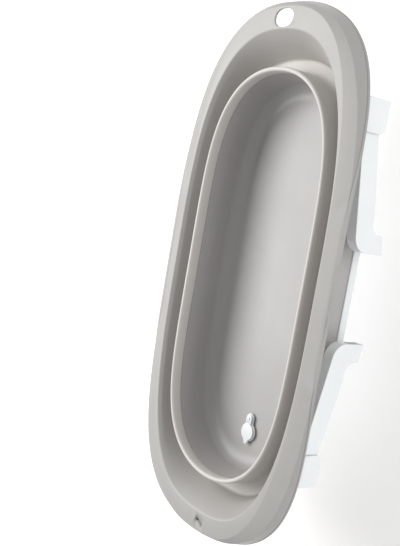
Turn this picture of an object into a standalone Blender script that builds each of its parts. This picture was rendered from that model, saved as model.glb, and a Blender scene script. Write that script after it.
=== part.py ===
"""Folding pet bathtub: rim, fold band, sliding pan, hinged plug and four hinged legs."""
import math
from collections import namedtuple

import bmesh
import bpy
from mathutils import Euler, Vector

# ---------------------------------------------------------------- overall sizes (metres)
LENGTH = 0.835
WIDTH = 0.403
MIDDLE_X = -0.0055           # where the rounder head half meets the squarer drain half
STATIONS = 72                # sections round each oval
GAP = 0.0003                 # between pieces that touch

# ---------------------------------------------------------------- rim
SKIN = 0.0028
INNER_INSETS = (0.0450, 0.0355, 0.0330)          # head end, drain end, side
SHOULDER_INSETS = (0.0122, 0.0040, 0.0305)
CREASE_INSETS = (0.0050, 0.0020, 0.0045)
CREASE_DROP = 0.0055
LIP_DROP_SIDE = 0.0070
LIP_DROP_END = 0.0216
LIP_DROP_START = 0.332       # distance from the end at which the lip starts to fall
LIP_DROP_RUN = 0.300
LIP_THICK = 0.0024
WALL_DEPTH = 0.046
WALL_DRAFTS = (0.0355, 0.0340, 0.0115)

# ---------------------------------------------------------------- fold band
RIDGE_INSETS = (0.1030, 0.0920, 0.0635)
RIDGE_DROP = 0.004
VALLEY_DEPTH = 0.0515
BAND_SKIN = 0.0020
BEAD_HALF = 0.0035
BEAD_DEPTH = 0.0050
LAP = 0.0018                 # how far inside the ridge line the pan's tongue stands
WRAP_DEPTH = 0.022

# ---------------------------------------------------------------- pan and base
PAN_DEPTH = 0.082
PAN_DRAFT = 0.0062
FLOOR_FILLET = 0.026
FLOOR_FILLET_RISE = 0.0215
RING_TOP = 0.058
RING_STAND = 0.0026          # how far the grey ring stands outside the ridge line
PLATE_UNDER_FLOOR = 0.0125   # room for the drain fitting
PLATE = 0.0025
PLATE_UPSTAND = 0.0040
FOOT_TALL = 0.0090
FOOT_STAND = 0.0058
FOOT_CLEAR = 0.0065          # the folded legs stand this far below the base's foot
BOSS_RADIUS = 0.005
BOSS_HEAD_INSETS = (0.085, 0.068)                # from the ridge line: along, across
BOSS_MIDDLE_INSET = 0.053
BOSS_DRAIN_INSETS = (0.105, 0.058)

# ---------------------------------------------------------------- openings in the rim
HOLE_INSET = 0.0291
HOLE_HALF = (0.0135, 0.0195)
HOOK_INSET = 0.0195
HOOK_SIDE = -0.011
HOOK_TURN = math.radians(62)
HOOK_LONG = 0.018
HOOK_WIDE = 0.0045
HOOK_DEEP = 0.0075
HOOK_FLOOR = 0.0020
NOTCH_INSET = 0.103
NOTCH_LONG = 0.030
NOTCH_DEEP = 0.004

# ---------------------------------------------------------------- drain and plug
DRAIN_INSET = 0.162
PLUG_RADIUS = 0.014
TAB_REACH = 0.029
TAB_HALF = 0.0065
EAR_REACH = 0.020
EAR_HALF = 0.0070
EAR_TIP = 0.0045
PLUG_PLATE = 0.0022
PLUG_AXIS = 0.0150           # hinge line, measured from the drain's middle
PLUG_PIN = 0.0007
PIN_FIT = 0.0001
KNUCKLE = 0.00135
KNUCKLE_HALF = 0.0029
STEM_LENGTH = 0.0050
STEM_FIT = 0.0013
PEG_RADIUS = 0.0015
PEG_DEEP = 0.0017
SEAT_MARGIN = 0.0016
SEAT_PLATE = 0.0026
SPIGOT_RADIUS = 0.0125
DRAIN_BORE = 0.0095
GASKET = 0.0012
GASKET_WIDE = 0.0033
NUT_RADIUS = 0.019

# ---------------------------------------------------------------- legs, brackets and fasteners
LIP_ROOM_HEAD = 0.0063       # from the legs' outer faces to the lip, at the brackets' far ends
LIP_ROOM_DRAIN = 0.0103
HINGE_DROP = 0.038
LEG_REACH = 0.186
LEG_THICK = 0.0185
LEG_CLEAR = 0.0017           # between the legs and the foot of the rim's wall
LEG_WALL = 0.0024
LEG_RIB = 0.0025
LEG_WEB = 0.0035
LEG_EDGE = 0.0010
HUB_RADIUS = 0.0150
TOE_LONG = 0.0275
TOE_ROUND = 0.026
TOE_FILLET = 0.016
PIN_RADIUS = 0.004
PIN_HEAD = 0.0066
BRACKET_NEAR = 0.021
BRACKET_FAR = 0.027
BRACKET_TOP = 0.012
BRACKET_BOTTOM = 0.064
BRACKET_ROUND = 0.011
BRACKET_WALL = 0.0028
BRACKET_END = 0.0035
BRACKET_ROOF = 0.0065
BRACKET_CHAMFER = 0.0095
SCREW_RADIUS = 0.0018
SCREW_HEAD = 0.0036
SCREW_HEAD_TALL = 0.0024
SCREW_INSET = 0.002          # bracket screws stand this far inboard of the leg's middle
BRACKET_SCREWS = (-0.0185, 0.0150)

PLATE_TOP = PAN_DEPTH + PLATE_UNDER_FLOOR
RING_BOTTOM = PLATE_TOP - PLATE_UPSTAND
FOOT_DEPTH = PLATE_TOP + FOOT_TALL
TOP = FOOT_DEPTH + FOOT_CLEAR            # height of the rim above the floor, legs folded

Oval = namedtuple("Oval", "head tail side head_end tail_end head_side tail_side")


def oval(insets, head_end, tail_end, head_side, tail_side):
    """Half lengths and half width from the insets, with the powers of each half."""
    head = LENGTH / 2 - MIDDLE_X - insets[0]
    tail = LENGTH / 2 + MIDDLE_X - insets[1]
    return Oval(head, tail, WIDTH / 2 - insets[2], head_end, tail_end, head_side, tail_side)


LIP = oval((0.0, 0.0, 0.0), 4.78, 5.05, 2.15, 2.30)
CREASE = oval(CREASE_INSETS, 3.57, 4.30, 2.26, 2.45)
SHOULDER = oval(SHOULDER_INSETS, 3.57, 3.42, 2.51, 2.63)
INNER = oval(INNER_INSETS, 3.50, 3.24, 2.35, 2.67)
WALL_FOOT = oval([a + b for a, b in zip(INNER_INSETS, WALL_DRAFTS)], 3.50, 3.50, 2.50, 2.60)
RIDGE = oval(RIDGE_INSETS, 4.60, 4.60, 2.08, 2.08)


def clear_scene():
    for obj in list(bpy.data.objects):
        bpy.data.objects.remove(obj, do_unlink=True)


def collection(name):
    col = bpy.data.collections.new(name)
    bpy.context.scene.collection.children.link(col)
    return col


def material(name, color, rough, metal=0.0):
    mat = bpy.data.materials.new(name)
    mat.use_nodes = True
    shader = mat.node_tree.nodes["Principled BSDF"]
    shader.inputs["Base Color"].default_value = (color[0], color[1], color[2], 1.0)
    shader.inputs["Roughness"].default_value = rough
    shader.inputs["Metallic"].default_value = metal
    return mat


# ---------------------------------------------------------------- making objects
def new_object(name, mesh, col, mat=None, location=(0.0, 0.0, 0.0), rotation=(0.0, 0.0, 0.0)):
    obj = bpy.data.objects.new(name, mesh)
    obj.location = location
    obj.rotation_euler = rotation
    col.objects.link(obj)
    if mat is not None:
        mesh.materials.append(mat)
    return obj


def mesh_from(name, bm):
    mesh = bpy.data.meshes.new(name)
    bm.to_mesh(mesh)
    bm.free()
    return mesh


def evaluated_mesh(obj):
    bpy.context.view_layer.update()
    graph = bpy.context.evaluated_depsgraph_get()
    return bpy.data.meshes.new_from_object(obj.evaluated_get(graph))


def shifted(location, rotation, offset):
    """World place of a point given in the axes of a turned object."""
    return Vector(location) + Euler(rotation).to_matrix() @ Vector(offset)


def outline_solid(name, points, thick, col, mat=None, location=(0.0, 0.0, 0.0), rotation=(0.0, 0.0, 0.0)):
    """A flat outline in the object's XY plane, filled and given half its thickness to each side."""
    curve = bpy.data.curves.new(name, "CURVE")
    curve.dimensions = "2D"
    curve.fill_mode = "BOTH"
    curve.extrude = thick / 2
    spline = curve.splines.new("POLY")
    spline.points.add(len(points) - 1)
    for point, (u, v) in zip(spline.points, points):
        point.co = (u, v, 0.0, 1.0)
    spline.use_cyclic_u = True
    flat = bpy.data.objects.new(name + "_outline", curve)
    col.objects.link(flat)
    mesh = evaluated_mesh(flat)
    bpy.data.objects.remove(flat, do_unlink=True)
    bm = bmesh.new()
    bm.from_mesh(mesh)
    bmesh.ops.remove_doubles(bm, verts=bm.verts, dist=1e-6)
    bmesh.ops.recalc_face_normals(bm, faces=bm.faces)
    mesh.clear_geometry()
    bm.to_mesh(mesh)
    bm.free()
    return new_object(name, mesh, col, mat, location, rotation)


def turned(name, profile, steps, col, mat=None, location=(0.0, 0.0, 0.0), rotation=(0.0, 0.0, 0.0), ring=False):
    """A profile (radius, height), listed down its outer side, turned about the object's Z axis."""
    bm = bmesh.new()
    verts = [bm.verts.new((r, 0.0, h)) for r, h in profile]
    for one, two in zip(verts, verts[1:]):
        bm.edges.new((one, two))
    if ring:
        bm.edges.new((verts[-1], verts[0]))
    obj = new_object(name, mesh_from(name, bm), col, mat, location, rotation)
    mod = obj.modifiers.new("turn", "SCREW")
    mod.steps = steps
    mod.render_steps = steps
    mod.use_merge_vertices = True
    mod.merge_threshold = 0.00001
    mod.use_smooth_shade = True
    return obj


def cylinder(name, radius, low, high, steps, col, mat=None, location=(0.0, 0.0, 0.0), rotation=(0.0, 0.0, 0.0)):
    """A plain cylinder along the object's Z axis, from low to high."""
    bm = bmesh.new()
    bmesh.ops.create_cone(bm, cap_ends=True, segments=steps, radius1=radius, radius2=radius, depth=high - low)
    bmesh.ops.translate(bm, verts=bm.verts, vec=(0.0, 0.0, (low + high) / 2))
    return new_object(name, mesh_from(name, bm), col, mat, location, rotation)


def box(name, low, high, col, mat=None, location=(0.0, 0.0, 0.0), rotation=(0.0, 0.0, 0.0)):
    """A box between two corners in the object's own axes."""
    bm = bmesh.new()
    bmesh.ops.create_cube(bm, size=1.0)
    bmesh.ops.scale(bm, verts=bm.verts, vec=[b - a for a, b in zip(low, high)])
    bmesh.ops.translate(bm, verts=bm.verts, vec=[(a + b) / 2 for a, b in zip(low, high)])
    return new_object(name, mesh_from(name, bm), col, mat, location, rotation)


def soften(obj, width):
    mod = obj.modifiers.new("edges", "BEVEL")
    mod.width = width
    mod.segments = 2
    mod.limit_method = "ANGLE"
    mod.angle_limit = math.radians(50)


def gathered(name, objs, col):
    """Several cutters as one mesh, so that a piece takes one Boolean for all of them."""
    bm = bmesh.new()
    for obj in objs:
        mesh = evaluated_mesh(obj)
        mesh.transform(obj.matrix_world)
        bm.from_mesh(mesh)
        bpy.data.meshes.remove(mesh)
        bpy.data.objects.remove(obj, do_unlink=True)
    return new_object(name, mesh_from(name, bm), col)


def cut(obj, cutter, operation="DIFFERENCE"):
    cutter.hide_render = True
    cutter.display_type = "WIRE"
    mod = obj.modifiers.new(cutter.name, "BOOLEAN")
    mod.object = cutter
    mod.operation = operation
    mod.solver = "EXACT"


def arc(cu, cv, r, a0, a1, count):
    out = []
    for i in range(count + 1):
        ang = math.radians(a0 + (a1 - a0) * i / count)
        out.append((cu + r * math.cos(ang), cv + r * math.sin(ang)))
    return out


# ---------------------------------------------------------------- ovals and sections
def ray_length(shape, dx, dy):
    """Distance from the middle to the oval along one direction."""
    reach = shape.head if dx > 0.0 else shape.tail
    end = shape.head_end if dx > 0.0 else shape.tail_end
    side = shape.head_side if dx > 0.0 else shape.tail_side
    low = 0.0
    high = reach + shape.side
    for _ in range(60):
        mid = 0.5 * (low + high)
        if abs(mid * dx / reach) ** end + abs(mid * dy / shape.side) ** side < 1.0:
            low = mid
        else:
            high = mid
    return 0.5 * (low + high)


def half_width(shape, x):
    """Half width of an oval at a distance x in front of the middle."""
    reach = shape.head if x > 0.0 else shape.tail
    end = shape.head_end if x > 0.0 else shape.tail_end
    side = shape.head_side if x > 0.0 else shape.tail_side
    return shape.side * max(0.0, 1.0 - abs(x / reach) ** end) ** (1.0 / side)


def reach_at(shape, width, end):
    """Distance along the bath at which an oval has come in to a half width."""
    reach = shape.head if end > 0 else shape.tail
    power = shape.head_end if end > 0 else shape.tail_end
    side = shape.head_side if end > 0 else shape.tail_side
    return reach * (1.0 - (width / shape.side) ** side) ** (1.0 / power)


def slant(dx, dy):
    """How much further along the ray a square-on offset is."""
    step = 1e-4
    near = ray_length(WALL_FOOT, dx, dy)
    ex = dx * math.cos(step) - dy * math.sin(step)
    ey = dx * math.sin(step) + dy * math.cos(step)
    far = ray_length(WALL_FOOT, ex, ey)
    tx = far * ex - near * dx
    ty = far * ey - near * dy
    return 1.0 / max(abs(dx * ty - dy * tx) / math.hypot(tx, ty), 0.6)


def stations():
    """Directions whose points are evenly spaced along the foot of the wall."""
    fine = 1440
    points = []
    for i in range(fine + 1):
        ang = 2.0 * math.pi * i / fine
        r = ray_length(WALL_FOOT, math.cos(ang), math.sin(ang))
        points.append(Vector((r * math.cos(ang), r * math.sin(ang))))
    run = [0.0]
    for one, two in zip(points, points[1:]):
        run.append(run[-1] + (two - one).length)
    out = []
    j = 0
    for k in range(STATIONS):
        goal = run[-1] * k / STATIONS
        while run[j + 1] < goal:
            j += 1
        spot = points[j].lerp(points[j + 1], (goal - run[j]) / (run[j + 1] - run[j]))
        way = spot.normalized()
        out.append((way.x, way.y, slant(way.x, way.y)))
    return out


def loft(name, section, ways, closed, col, mat):
    """Sections (distance, height) round the ovals; a ring if closed, otherwise a dish with two flat floors."""
    bm = bmesh.new()
    loops = []
    for way in ways:
        loops.append([bm.verts.new((r * way[0], r * way[1], z)) for r, z in section(*way)])
    size = len(loops[0])
    for one, two in zip(loops, loops[1:] + loops[:1]):
        for j in range(size if closed else size - 1):
            k = (j + 1) % size
            bm.faces.new((one[j], one[k], two[k], two[j]))
    if not closed:
        bm.faces.new([loop[0] for loop in loops])
        bm.faces.new([loop[-1] for loop in loops])
    bmesh.ops.recalc_face_normals(bm, faces=bm.faces)
    mesh = mesh_from(name, bm)
    mesh.shade_smooth()
    mesh.set_sharp_from_angle(angle=math.radians(30))
    return new_object(name, mesh, col, mat, (MIDDLE_X, 0.0, TOP))


# ---------------------------------------------------------------- rim
def lip_drop(x):
    reach = LIP.head if x > 0.0 else LIP.tail
    t = (abs(x) - (reach - LIP_DROP_START)) / LIP_DROP_RUN
    t = min(1.0, max(0.0, t))
    return LIP_DROP_SIDE + (LIP_DROP_END - LIP_DROP_SIDE) * t * t * (3.0 - 2.0 * t)


def rim_section(dx, dy, k):
    """Round the rim's skin from the foot of the inner wall, over the top and back underneath."""
    ri = ray_length(INNER, dx, dy)
    rs = max(ray_length(SHOULDER, dx, dy), ri + 0.0026 * k)
    rb = ray_length(CREASE, dx, dy)
    rl = ray_length(LIP, dx, dy)
    rw = ray_length(WALL_FOOT, dx, dy)
    zl = -lip_drop(rl * dx)
    sk = SKIN * k
    lean = ri - rw
    under = max(rs - 0.0012 * k, ri + sk + 0.0006 * k)
    return [
        (rw, -WALL_DEPTH),
        (rw + 0.52 * lean, -0.55 * WALL_DEPTH),
        (ri - 0.10 * lean, -0.125 * WALL_DEPTH),
        (ri - 0.0002, -0.0018),
        (ri + 0.0009 * k, -0.0004),
        (ri + 0.0022 * k, 0.0),
        (rs, 0.0),
        (rs + min(0.0022 * k, 0.5 * (rb - rs)), -0.0006),
        (rb - min(0.0030 * k, 0.3 * (rb - rs)), -CREASE_DROP + 0.0006),
        (rb, -CREASE_DROP - 0.0004),
        (rl - 0.0007 * k, zl + 0.0018),
        (rl, zl + 0.0008),
        (rl, zl),
        (rl - LIP_THICK * k, zl),
        (rb - 0.0026 * k, -CREASE_DROP - SKIN - 0.0004),
        (under, -SKIN - 0.0004),
        (ri + sk, -SKIN),
        (ri + 0.75 * sk, -0.0052),
        (rw + 0.52 * lean + sk, -0.55 * WALL_DEPTH),
        (rw + sk, -WALL_DEPTH),
    ]


def slope_height(x, y):
    """Middle of the rim's skin on the slope, from the rim's top."""
    ys = half_width(SHOULDER, x)
    yc = half_width(CREASE, x)
    t = min(1.0, max(0.0, (abs(y) - ys) / (yc - ys)))
    return -0.0006 - (CREASE_DROP - 0.0006) * t - 0.5 * SKIN


def leg_face():
    """Distance of the legs' outer faces from the bath's middle line."""
    return WALL_FOOT.side + SKIN + LEG_CLEAR + LEG_THICK


def hinge_x(end):
    """Where the narrowing lip still leaves room for a bracket's far end."""
    if end > 0:
        return MIDDLE_X + reach_at(LIP, leg_face() + LIP_ROOM_HEAD, 1) - BRACKET_FAR
    return MIDDLE_X - reach_at(LIP, leg_face() + LIP_ROOM_DRAIN, -1) + BRACKET_FAR


def leg_place(end, side):
    """Middle of the hinge line, and the turn that lays +X towards the foot and +Y upwards."""
    y = side * (leg_face() - LEG_THICK / 2)
    turn = (math.pi / 2, 0.0, math.pi if end > 0 else 0.0)
    return (hinge_x(end), y, TOP - HINGE_DROP), turn


def outward(end, side):
    """+1 where the leg's own Z axis points away from the pan."""
    return end * side


def leg_name(end, side):
    return f"{'head' if end > 0 else 'drain'}_{'left' if side > 0 else 'right'}"


def bracket_screw_spots(end, side):
    place, turn = leg_place(end, side)
    z = -outward(end, side) * SCREW_INSET
    return [shifted(place, turn, (u, HINGE_DROP - BRACKET_TOP, z)) for u in BRACKET_SCREWS]


def mount_pad(end, side, tools):
    """A block under the rim's slope, its top following the slope and its outer face kept inside the crease."""
    x0 = hinge_x(end) + end * (BRACKET_FAR - 0.002)
    x1 = hinge_x(end) - end * (BRACKET_NEAR - 0.001)
    far = leg_face()
    low = far - LEG_THICK - BRACKET_WALL
    bm = bmesh.new()
    bmesh.ops.create_cube(bm, size=2.0)
    for vert in bm.verts:
        x = x0 if vert.co.x < 0.0 else x1
        crease = half_width(CREASE, x - MIDDLE_X)
        y = low if vert.co.y < 0.0 else min(far - 0.0045, crease - 0.0012)
        z = -BRACKET_TOP + GAP if vert.co.z < 0.0 else slope_height(x - MIDDLE_X, y)
        vert.co = (x, side * y, TOP + z)
    bmesh.ops.recalc_face_normals(bm, faces=bm.faces)
    return new_object("pad", mesh_from("pad", bm), tools)


def hanging_hole(tools):
    points = []
    for i in range(40):
        ang = 2.0 * math.pi * (i + 0.5) / 40
        c = math.cos(ang)
        s = math.sin(ang)
        points.append((HOLE_HALF[0] * math.copysign(abs(c) ** 0.88, c), HOLE_HALF[1] * math.copysign(abs(s) ** 0.88, s)))
    return outline_solid("hole", points, 0.016, tools, None, (LENGTH / 2 - HOLE_INSET, 0.0, TOP - 0.004))


def hook_place(z):
    return (-LENGTH / 2 + HOOK_INSET, HOOK_SIDE, z)


def hook_pocket(tools):
    """A narrow slot with a heel at one end."""
    half = HOOK_WIDE / 2
    bend = HOOK_LONG * 0.30
    points = [(-HOOK_LONG / 2, -half), (bend, -half)]
    points += arc(bend, half * 1.6, half * 2.6, -90, 60, 6)
    points += [(bend, half * 2.4), (bend, half), (-HOOK_LONG / 2, half)]
    tall = HOOK_DEEP + 0.004
    return outline_solid("hook", points, tall, tools, None, hook_place(TOP + 0.004 - tall / 2), (0.0, 0.0, HOOK_TURN))


def hook_block(tools):
    """Material under the slot, so that it is a pocket and not a hole."""
    low = (-HOOK_LONG / 2 - HOOK_FLOOR, -HOOK_WIDE / 2 - HOOK_FLOOR, -HOOK_DEEP - HOOK_FLOOR)
    high = (HOOK_LONG / 2 + 1.5 * HOOK_FLOOR, HOOK_WIDE * 1.7 + HOOK_FLOOR, -SKIN / 2)
    return box("hook_block", low, high, tools, None, hook_place(TOP), (0.0, 0.0, HOOK_TURN))


def lip_notch(tools):
    x = LENGTH / 2 - NOTCH_INSET
    step = 0.004
    wide = half_width(LIP, x - MIDDLE_X)
    slope = (half_width(LIP, x - MIDDLE_X + step) - half_width(LIP, x - MIDDLE_X - step)) / (2 * step)
    half = NOTCH_LONG / 2
    points = [(-half, -NOTCH_DEEP * 0.55), (-half * 0.6, -NOTCH_DEEP), (-half * 0.2, -NOTCH_DEEP * 0.5)]
    points += [(half, -NOTCH_DEEP * 0.3), (half, NOTCH_DEEP * 2), (-half, NOTCH_DEEP * 2)]
    return outline_solid("notch", points, 0.030, tools, None, (x, wide, TOP - 0.025), (0.0, 0.0, math.atan(slope)))


def make_rim(ways, col, tools, mat):
    rim = loft("rim_frame", rim_section, ways, True, col, mat)
    added = [hook_block(tools)]
    holes = [hanging_hole(tools), hook_pocket(tools), lip_notch(tools)]
    for end in (1, -1):
        for side in (1, -1):
            added.append(mount_pad(end, side, tools))
            for spot in bracket_screw_spots(end, side):
                holes.append(cylinder("pad_hole", SCREW_RADIUS + GAP, -0.002, 0.0048, 12, tools, None, spot))
    cut(rim, gathered("rim_blocks", added, tools), "UNION")
    cut(rim, gathered("rim_holes", holes, tools))


# ---------------------------------------------------------------- fold band
def band_section(dx, dy, k):
    """From the wall's foot across the valley, up the outside of the fold, over the bead and down the wrap."""
    rw = ray_length(WALL_FOOT, dx, dy)
    rr = ray_length(RIDGE, dx, dy)
    sk = SKIN * k
    out = rr + (BEAD_HALF - 0.0002) * k
    back = out - BAND_SKIN * k
    inn = rr - (BEAD_HALF + 0.0002) * k
    lap = rr - LAP * k
    zr = -RIDGE_DROP
    zv = -VALLEY_DEPTH
    room = rw - out
    return [
        (rw, -WALL_DEPTH - GAP),
        (rw - 0.05 * room, zv + 0.0024),
        (rw - 0.18 * room, zv + 0.0006),
        (out + 0.45 * room, zv),
        (out + 0.18 * room, zv + 0.0006),
        (out + 0.05 * room, zv + 0.0024),
        (out, zv + 0.0060),
        (out, zr - BEAD_DEPTH - 0.0005),
        (out - 0.0008 * k, zr - 0.0022),
        (rr + 0.0012 * k, zr - GAP),
        (rr - 0.0012 * k, zr - GAP),
        (inn + 0.0008 * k, zr - 0.0022),
        (inn, zr - BEAD_DEPTH - 0.0005),
        (inn - 0.0001, -WRAP_DEPTH),
        (lap, -WRAP_DEPTH),
        (lap, zr - BEAD_DEPTH),
        (back, zr - BEAD_DEPTH),
        (back, zv + 0.0045),
        (back + 0.0010 * k, zv - 0.0006),
        (out + 0.18 * room, zv - BAND_SKIN),
        (out + 0.45 * room, zv - BAND_SKIN - 0.0002),
        (rw - 0.05 * room, zv - BAND_SKIN + 0.0002),
        (rw + 0.6 * sk, zv + 0.0004),
        (rw + sk, -WALL_DEPTH - GAP),
    ]


# ---------------------------------------------------------------- pan and base
def pan_section(dx, dy, k):
    """From the inner floor up the wall, round the tongue under the bead, and down to the ring and outer floor."""
    rr = ray_length(RIDGE, dx, dy)
    lap = rr - (LAP - GAP) * k
    back = rr + (BEAD_HALF - 0.0002) * k - (BAND_SKIN + GAP) * k
    inn = rr - (BEAD_HALF + 0.0002) * k
    top = -RIDGE_DROP - BEAD_DEPTH - GAP
    low = -PAN_DEPTH
    fil = FLOOR_FILLET * k
    rise = FLOOR_FILLET_RISE
    wall = SKIN * k
    foot = inn - PAN_DRAFT * k
    return [
        (foot - fil, low),
        (foot - 0.62 * fil, low + 0.06 * rise),
        (foot - 0.32 * fil, low + 0.24 * rise),
        (foot - 0.10 * fil, low + 0.58 * rise),
        (foot, low + rise),
        (inn, -WRAP_DEPTH - GAP),
        (lap, -WRAP_DEPTH - GAP),
        (lap, top),
        (back, top),
        (back, -WRAP_DEPTH),
        (foot + wall, -RING_TOP + 0.004),
        (foot + wall, -RING_TOP),
        (rr + 0.0005 * k, -RING_TOP - 0.0004),
        (rr + 0.0018 * k, -RING_TOP - 0.0018),
        (rr + RING_STAND * k, -RING_BOTTOM),
        (rr + (RING_STAND - 0.0024) * k, -RING_BOTTOM),
        (rr - 0.0006 * k, -RING_TOP - 0.0030),
        (foot + wall, -RING_TOP - 0.0026),
        (foot + wall, low + rise - 0.0005),
        (foot + wall - 0.10 * fil, low + 0.51 * rise),
        (foot + wall - 0.34 * fil, low + 0.13 * rise),
        (foot + wall - 0.66 * fil, low - 0.0018),
        (foot - fil, low - SKIN),
    ]


def base_section(dx, dy, k):
    """A plate with an upstand inside the grey ring and a rounded foot outside it."""
    rr = ray_length(RIDGE, dx, dy)
    inside = RING_STAND - 0.0024 + 0.0008
    return [
        (rr - 0.016 * k, -PLATE_TOP),
        (rr - 0.0010 * k, -PLATE_TOP + 0.0004),
        (rr + 0.0008 * k, -PLATE_TOP + 0.0018),
        (rr + inside * k, -RING_BOTTOM - GAP),
        (rr + (RING_STAND + 0.0018) * k, -RING_BOTTOM - GAP),
        (rr + (FOOT_STAND - 0.0006) * k, -RING_BOTTOM - 0.0012),
        (rr + FOOT_STAND * k, -FOOT_DEPTH + 0.0009),
        (rr + (FOOT_STAND - 0.0008) * k, -FOOT_DEPTH),
        (rr + (FOOT_STAND - 0.0028) * k, -FOOT_DEPTH),
        (rr + (FOOT_STAND - 0.0034) * k, -PLATE_TOP - PLATE - 0.0016),
        (rr + 0.0006 * k, -PLATE_TOP - PLATE),
        (rr - 0.016 * k, -PLATE_TOP - PLATE),
    ]


def base_screw_spots():
    head = (MIDDLE_X + RIDGE.head - BOSS_HEAD_INSETS[0], RIDGE.side - BOSS_HEAD_INSETS[1])
    middle = (MIDDLE_X, RIDGE.side - BOSS_MIDDLE_INSET)
    drain = (MIDDLE_X - RIDGE.tail + BOSS_DRAIN_INSETS[0], RIDGE.side - BOSS_DRAIN_INSETS[1])
    return [(x, side * y) for x, y in (head, middle, drain) for side in (1, -1)]


def drain_x():
    return -LENGTH / 2 + DRAIN_INSET


def make_pan(ways, col, tools, mat):
    pan = loft("pan", pan_section, ways, False, col, mat)
    low = TOP - PAN_DEPTH - SKIN
    end = TOP - PLATE_TOP + GAP
    bosses = []
    holes = []
    for x, y in base_screw_spots():
        bosses.append(cylinder("boss", BOSS_RADIUS, end, low + 0.0010, 16, tools, None, (x, y, 0.0)))
        holes.append(cylinder("boss_hole", SCREW_RADIUS + GAP, end - 0.002, low - 0.0004, 12, tools, None, (x, y, 0.0)))
    cut(pan, gathered("pan_bosses", bosses, tools), "UNION")
    holes.append(cylinder("drain", SPIGOT_RADIUS + GAP, low - 0.004, low + 0.010, 32, tools, None, (drain_x(), 0.0, 0.0)))
    cut(pan, gathered("pan_holes", holes, tools))


def make_base(ways, col, tools, mat):
    base = loft("base_shell", base_section, ways, False, col, mat)
    z = TOP - PLATE_TOP
    holes = [cylinder("spigot", SPIGOT_RADIUS + 0.0015, z - 0.008, z + 0.003, 32, tools, None, (drain_x(), 0.0, 0.0))]
    for x, y in base_screw_spots():
        holes.append(cylinder("plate_hole", SCREW_RADIUS + GAP, z - 0.008, z + 0.003, 12, tools, None, (x, y, 0.0)))
    cut(base, gathered("base_holes", holes, tools))


# ---------------------------------------------------------------- drain and plug
FLOOR = TOP - PAN_DEPTH
GASKET_LOW = FLOOR + GAP
SEAT_LOW = GASKET_LOW + GASKET + GAP
SEAT_HIGH = SEAT_LOW + SEAT_PLATE
FLAP_LOW = SEAT_HIGH + GAP
FLAP_HIGH = FLAP_LOW + PLUG_PLATE
FLAP_MIDDLE = FLAP_LOW + PLUG_PLATE / 2


def seat_outline():
    """A disc with a round-ended tab towards the hinge (+u)."""
    r = PLUG_RADIUS + SEAT_MARGIN
    half = TAB_HALF + SEAT_MARGIN
    a = math.degrees(math.asin(half / r)) + 8.0
    waist = r * math.cos(math.radians(a)) + 0.0016
    points = arc(TAB_REACH - TAB_HALF, 0.0, half, -90, 90, 10)
    points += [(waist, half)]
    points += arc(0.0, 0.0, r, a, 360 - a, 26)
    points += [(waist, -half)]
    return points


def flap_outline():
    """A disc with a knuckle tongue at the hinge (+u) and a finger ear (-u)."""
    r = PLUG_RADIUS
    a = math.degrees(math.asin(TAB_HALF / r)) + 8.0
    b = math.degrees(math.asin(EAR_HALF / r)) + 8.0
    edge = PLUG_AXIS - KNUCKLE - 0.00035
    tongue = KNUCKLE_HALF + 0.0001
    points = [(PLUG_AXIS, -tongue), (PLUG_AXIS, tongue), (edge, tongue), (edge, TAB_HALF)]
    points += arc(0.0, 0.0, r, a, 180 - b, 9)
    points += arc(EAR_TIP - EAR_REACH, 0.0, EAR_TIP, 125, 235, 6)
    points += arc(0.0, 0.0, r, 180 + b, 360 - a, 9)
    points += [(edge, -TAB_HALF), (edge, -tongue)]
    return [(u - PLUG_AXIS, v) for u, v in points]


def strap_outline():
    """The fixed half of the hinge: two arms round the knuckle and a round-ended tab."""
    edge = PLUG_AXIS + KNUCKLE + 0.00035
    slot = KNUCKLE_HALF + 0.0004
    arm = TAB_HALF - GAP
    points = [(edge, -slot), (PLUG_AXIS, -slot), (PLUG_AXIS, -arm), (edge, -arm), (edge + 0.0002, -TAB_HALF)]
    points += arc(TAB_REACH - TAB_HALF, 0.0, TAB_HALF, -90, 90, 10)
    points += [(edge + 0.0002, TAB_HALF), (edge, arm), (PLUG_AXIS, arm), (PLUG_AXIS, slot), (edge, slot)]
    return points


def make_seat(col, tools, white):
    dx = drain_x()
    peg_x = dx + TAB_REACH - TAB_HALF
    seat = outline_solid("drain_seat", seat_outline(), SEAT_PLATE, col, white, (dx, 0.0, (SEAT_LOW + SEAT_HIGH) / 2))
    soften(seat, 0.0004)
    cut(seat, cylinder("seat_peg_hole", PEG_RADIUS + GAP, SEAT_HIGH - PEG_DEEP - GAP, SEAT_HIGH + 0.004, 12, tools,
                       None, (peg_x, 0.0, 0.0)))
    bottom = TOP - PLATE_TOP - PLATE
    cut(seat, cylinder("spigot_tube", SPIGOT_RADIUS, bottom, SEAT_LOW + 0.001, 32, tools, None, (dx, 0.0, 0.0)), "UNION")
    cut(seat, cylinder("spigot_bore", DRAIN_BORE, bottom - 0.004, SEAT_HIGH + 0.004, 32, tools, None, (dx, 0.0, 0.0)))


def make_gasket(col, rubber):
    bore = SPIGOT_RADIUS + GAP
    rim = SPIGOT_RADIUS + GASKET_WIDE
    profile = [(rim, GASKET), (rim, 0.0), (bore, 0.0), (bore, GASKET)]
    turned("drain_gasket", profile, 36, col, rubber, (drain_x(), 0.0, GASKET_LOW), ring=True)


def make_nut(col, tools, white):
    low = TOP - PLATE_TOP + 0.0012
    high = FLOOR - SKIN - GAP
    nut = cylinder("drain_nut", NUT_RADIUS, 0.0, high - low, 8, col, white, (drain_x(), 0.0, low), (0.0, 0.0, math.pi / 8))
    soften(nut, 0.0006)
    bore = cylinder("nut_bore", SPIGOT_RADIUS + GAP, low - 0.004, high + 0.002, 32, tools, None, (drain_x(), 0.0, 0.0))
    cut(nut, bore)


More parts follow.
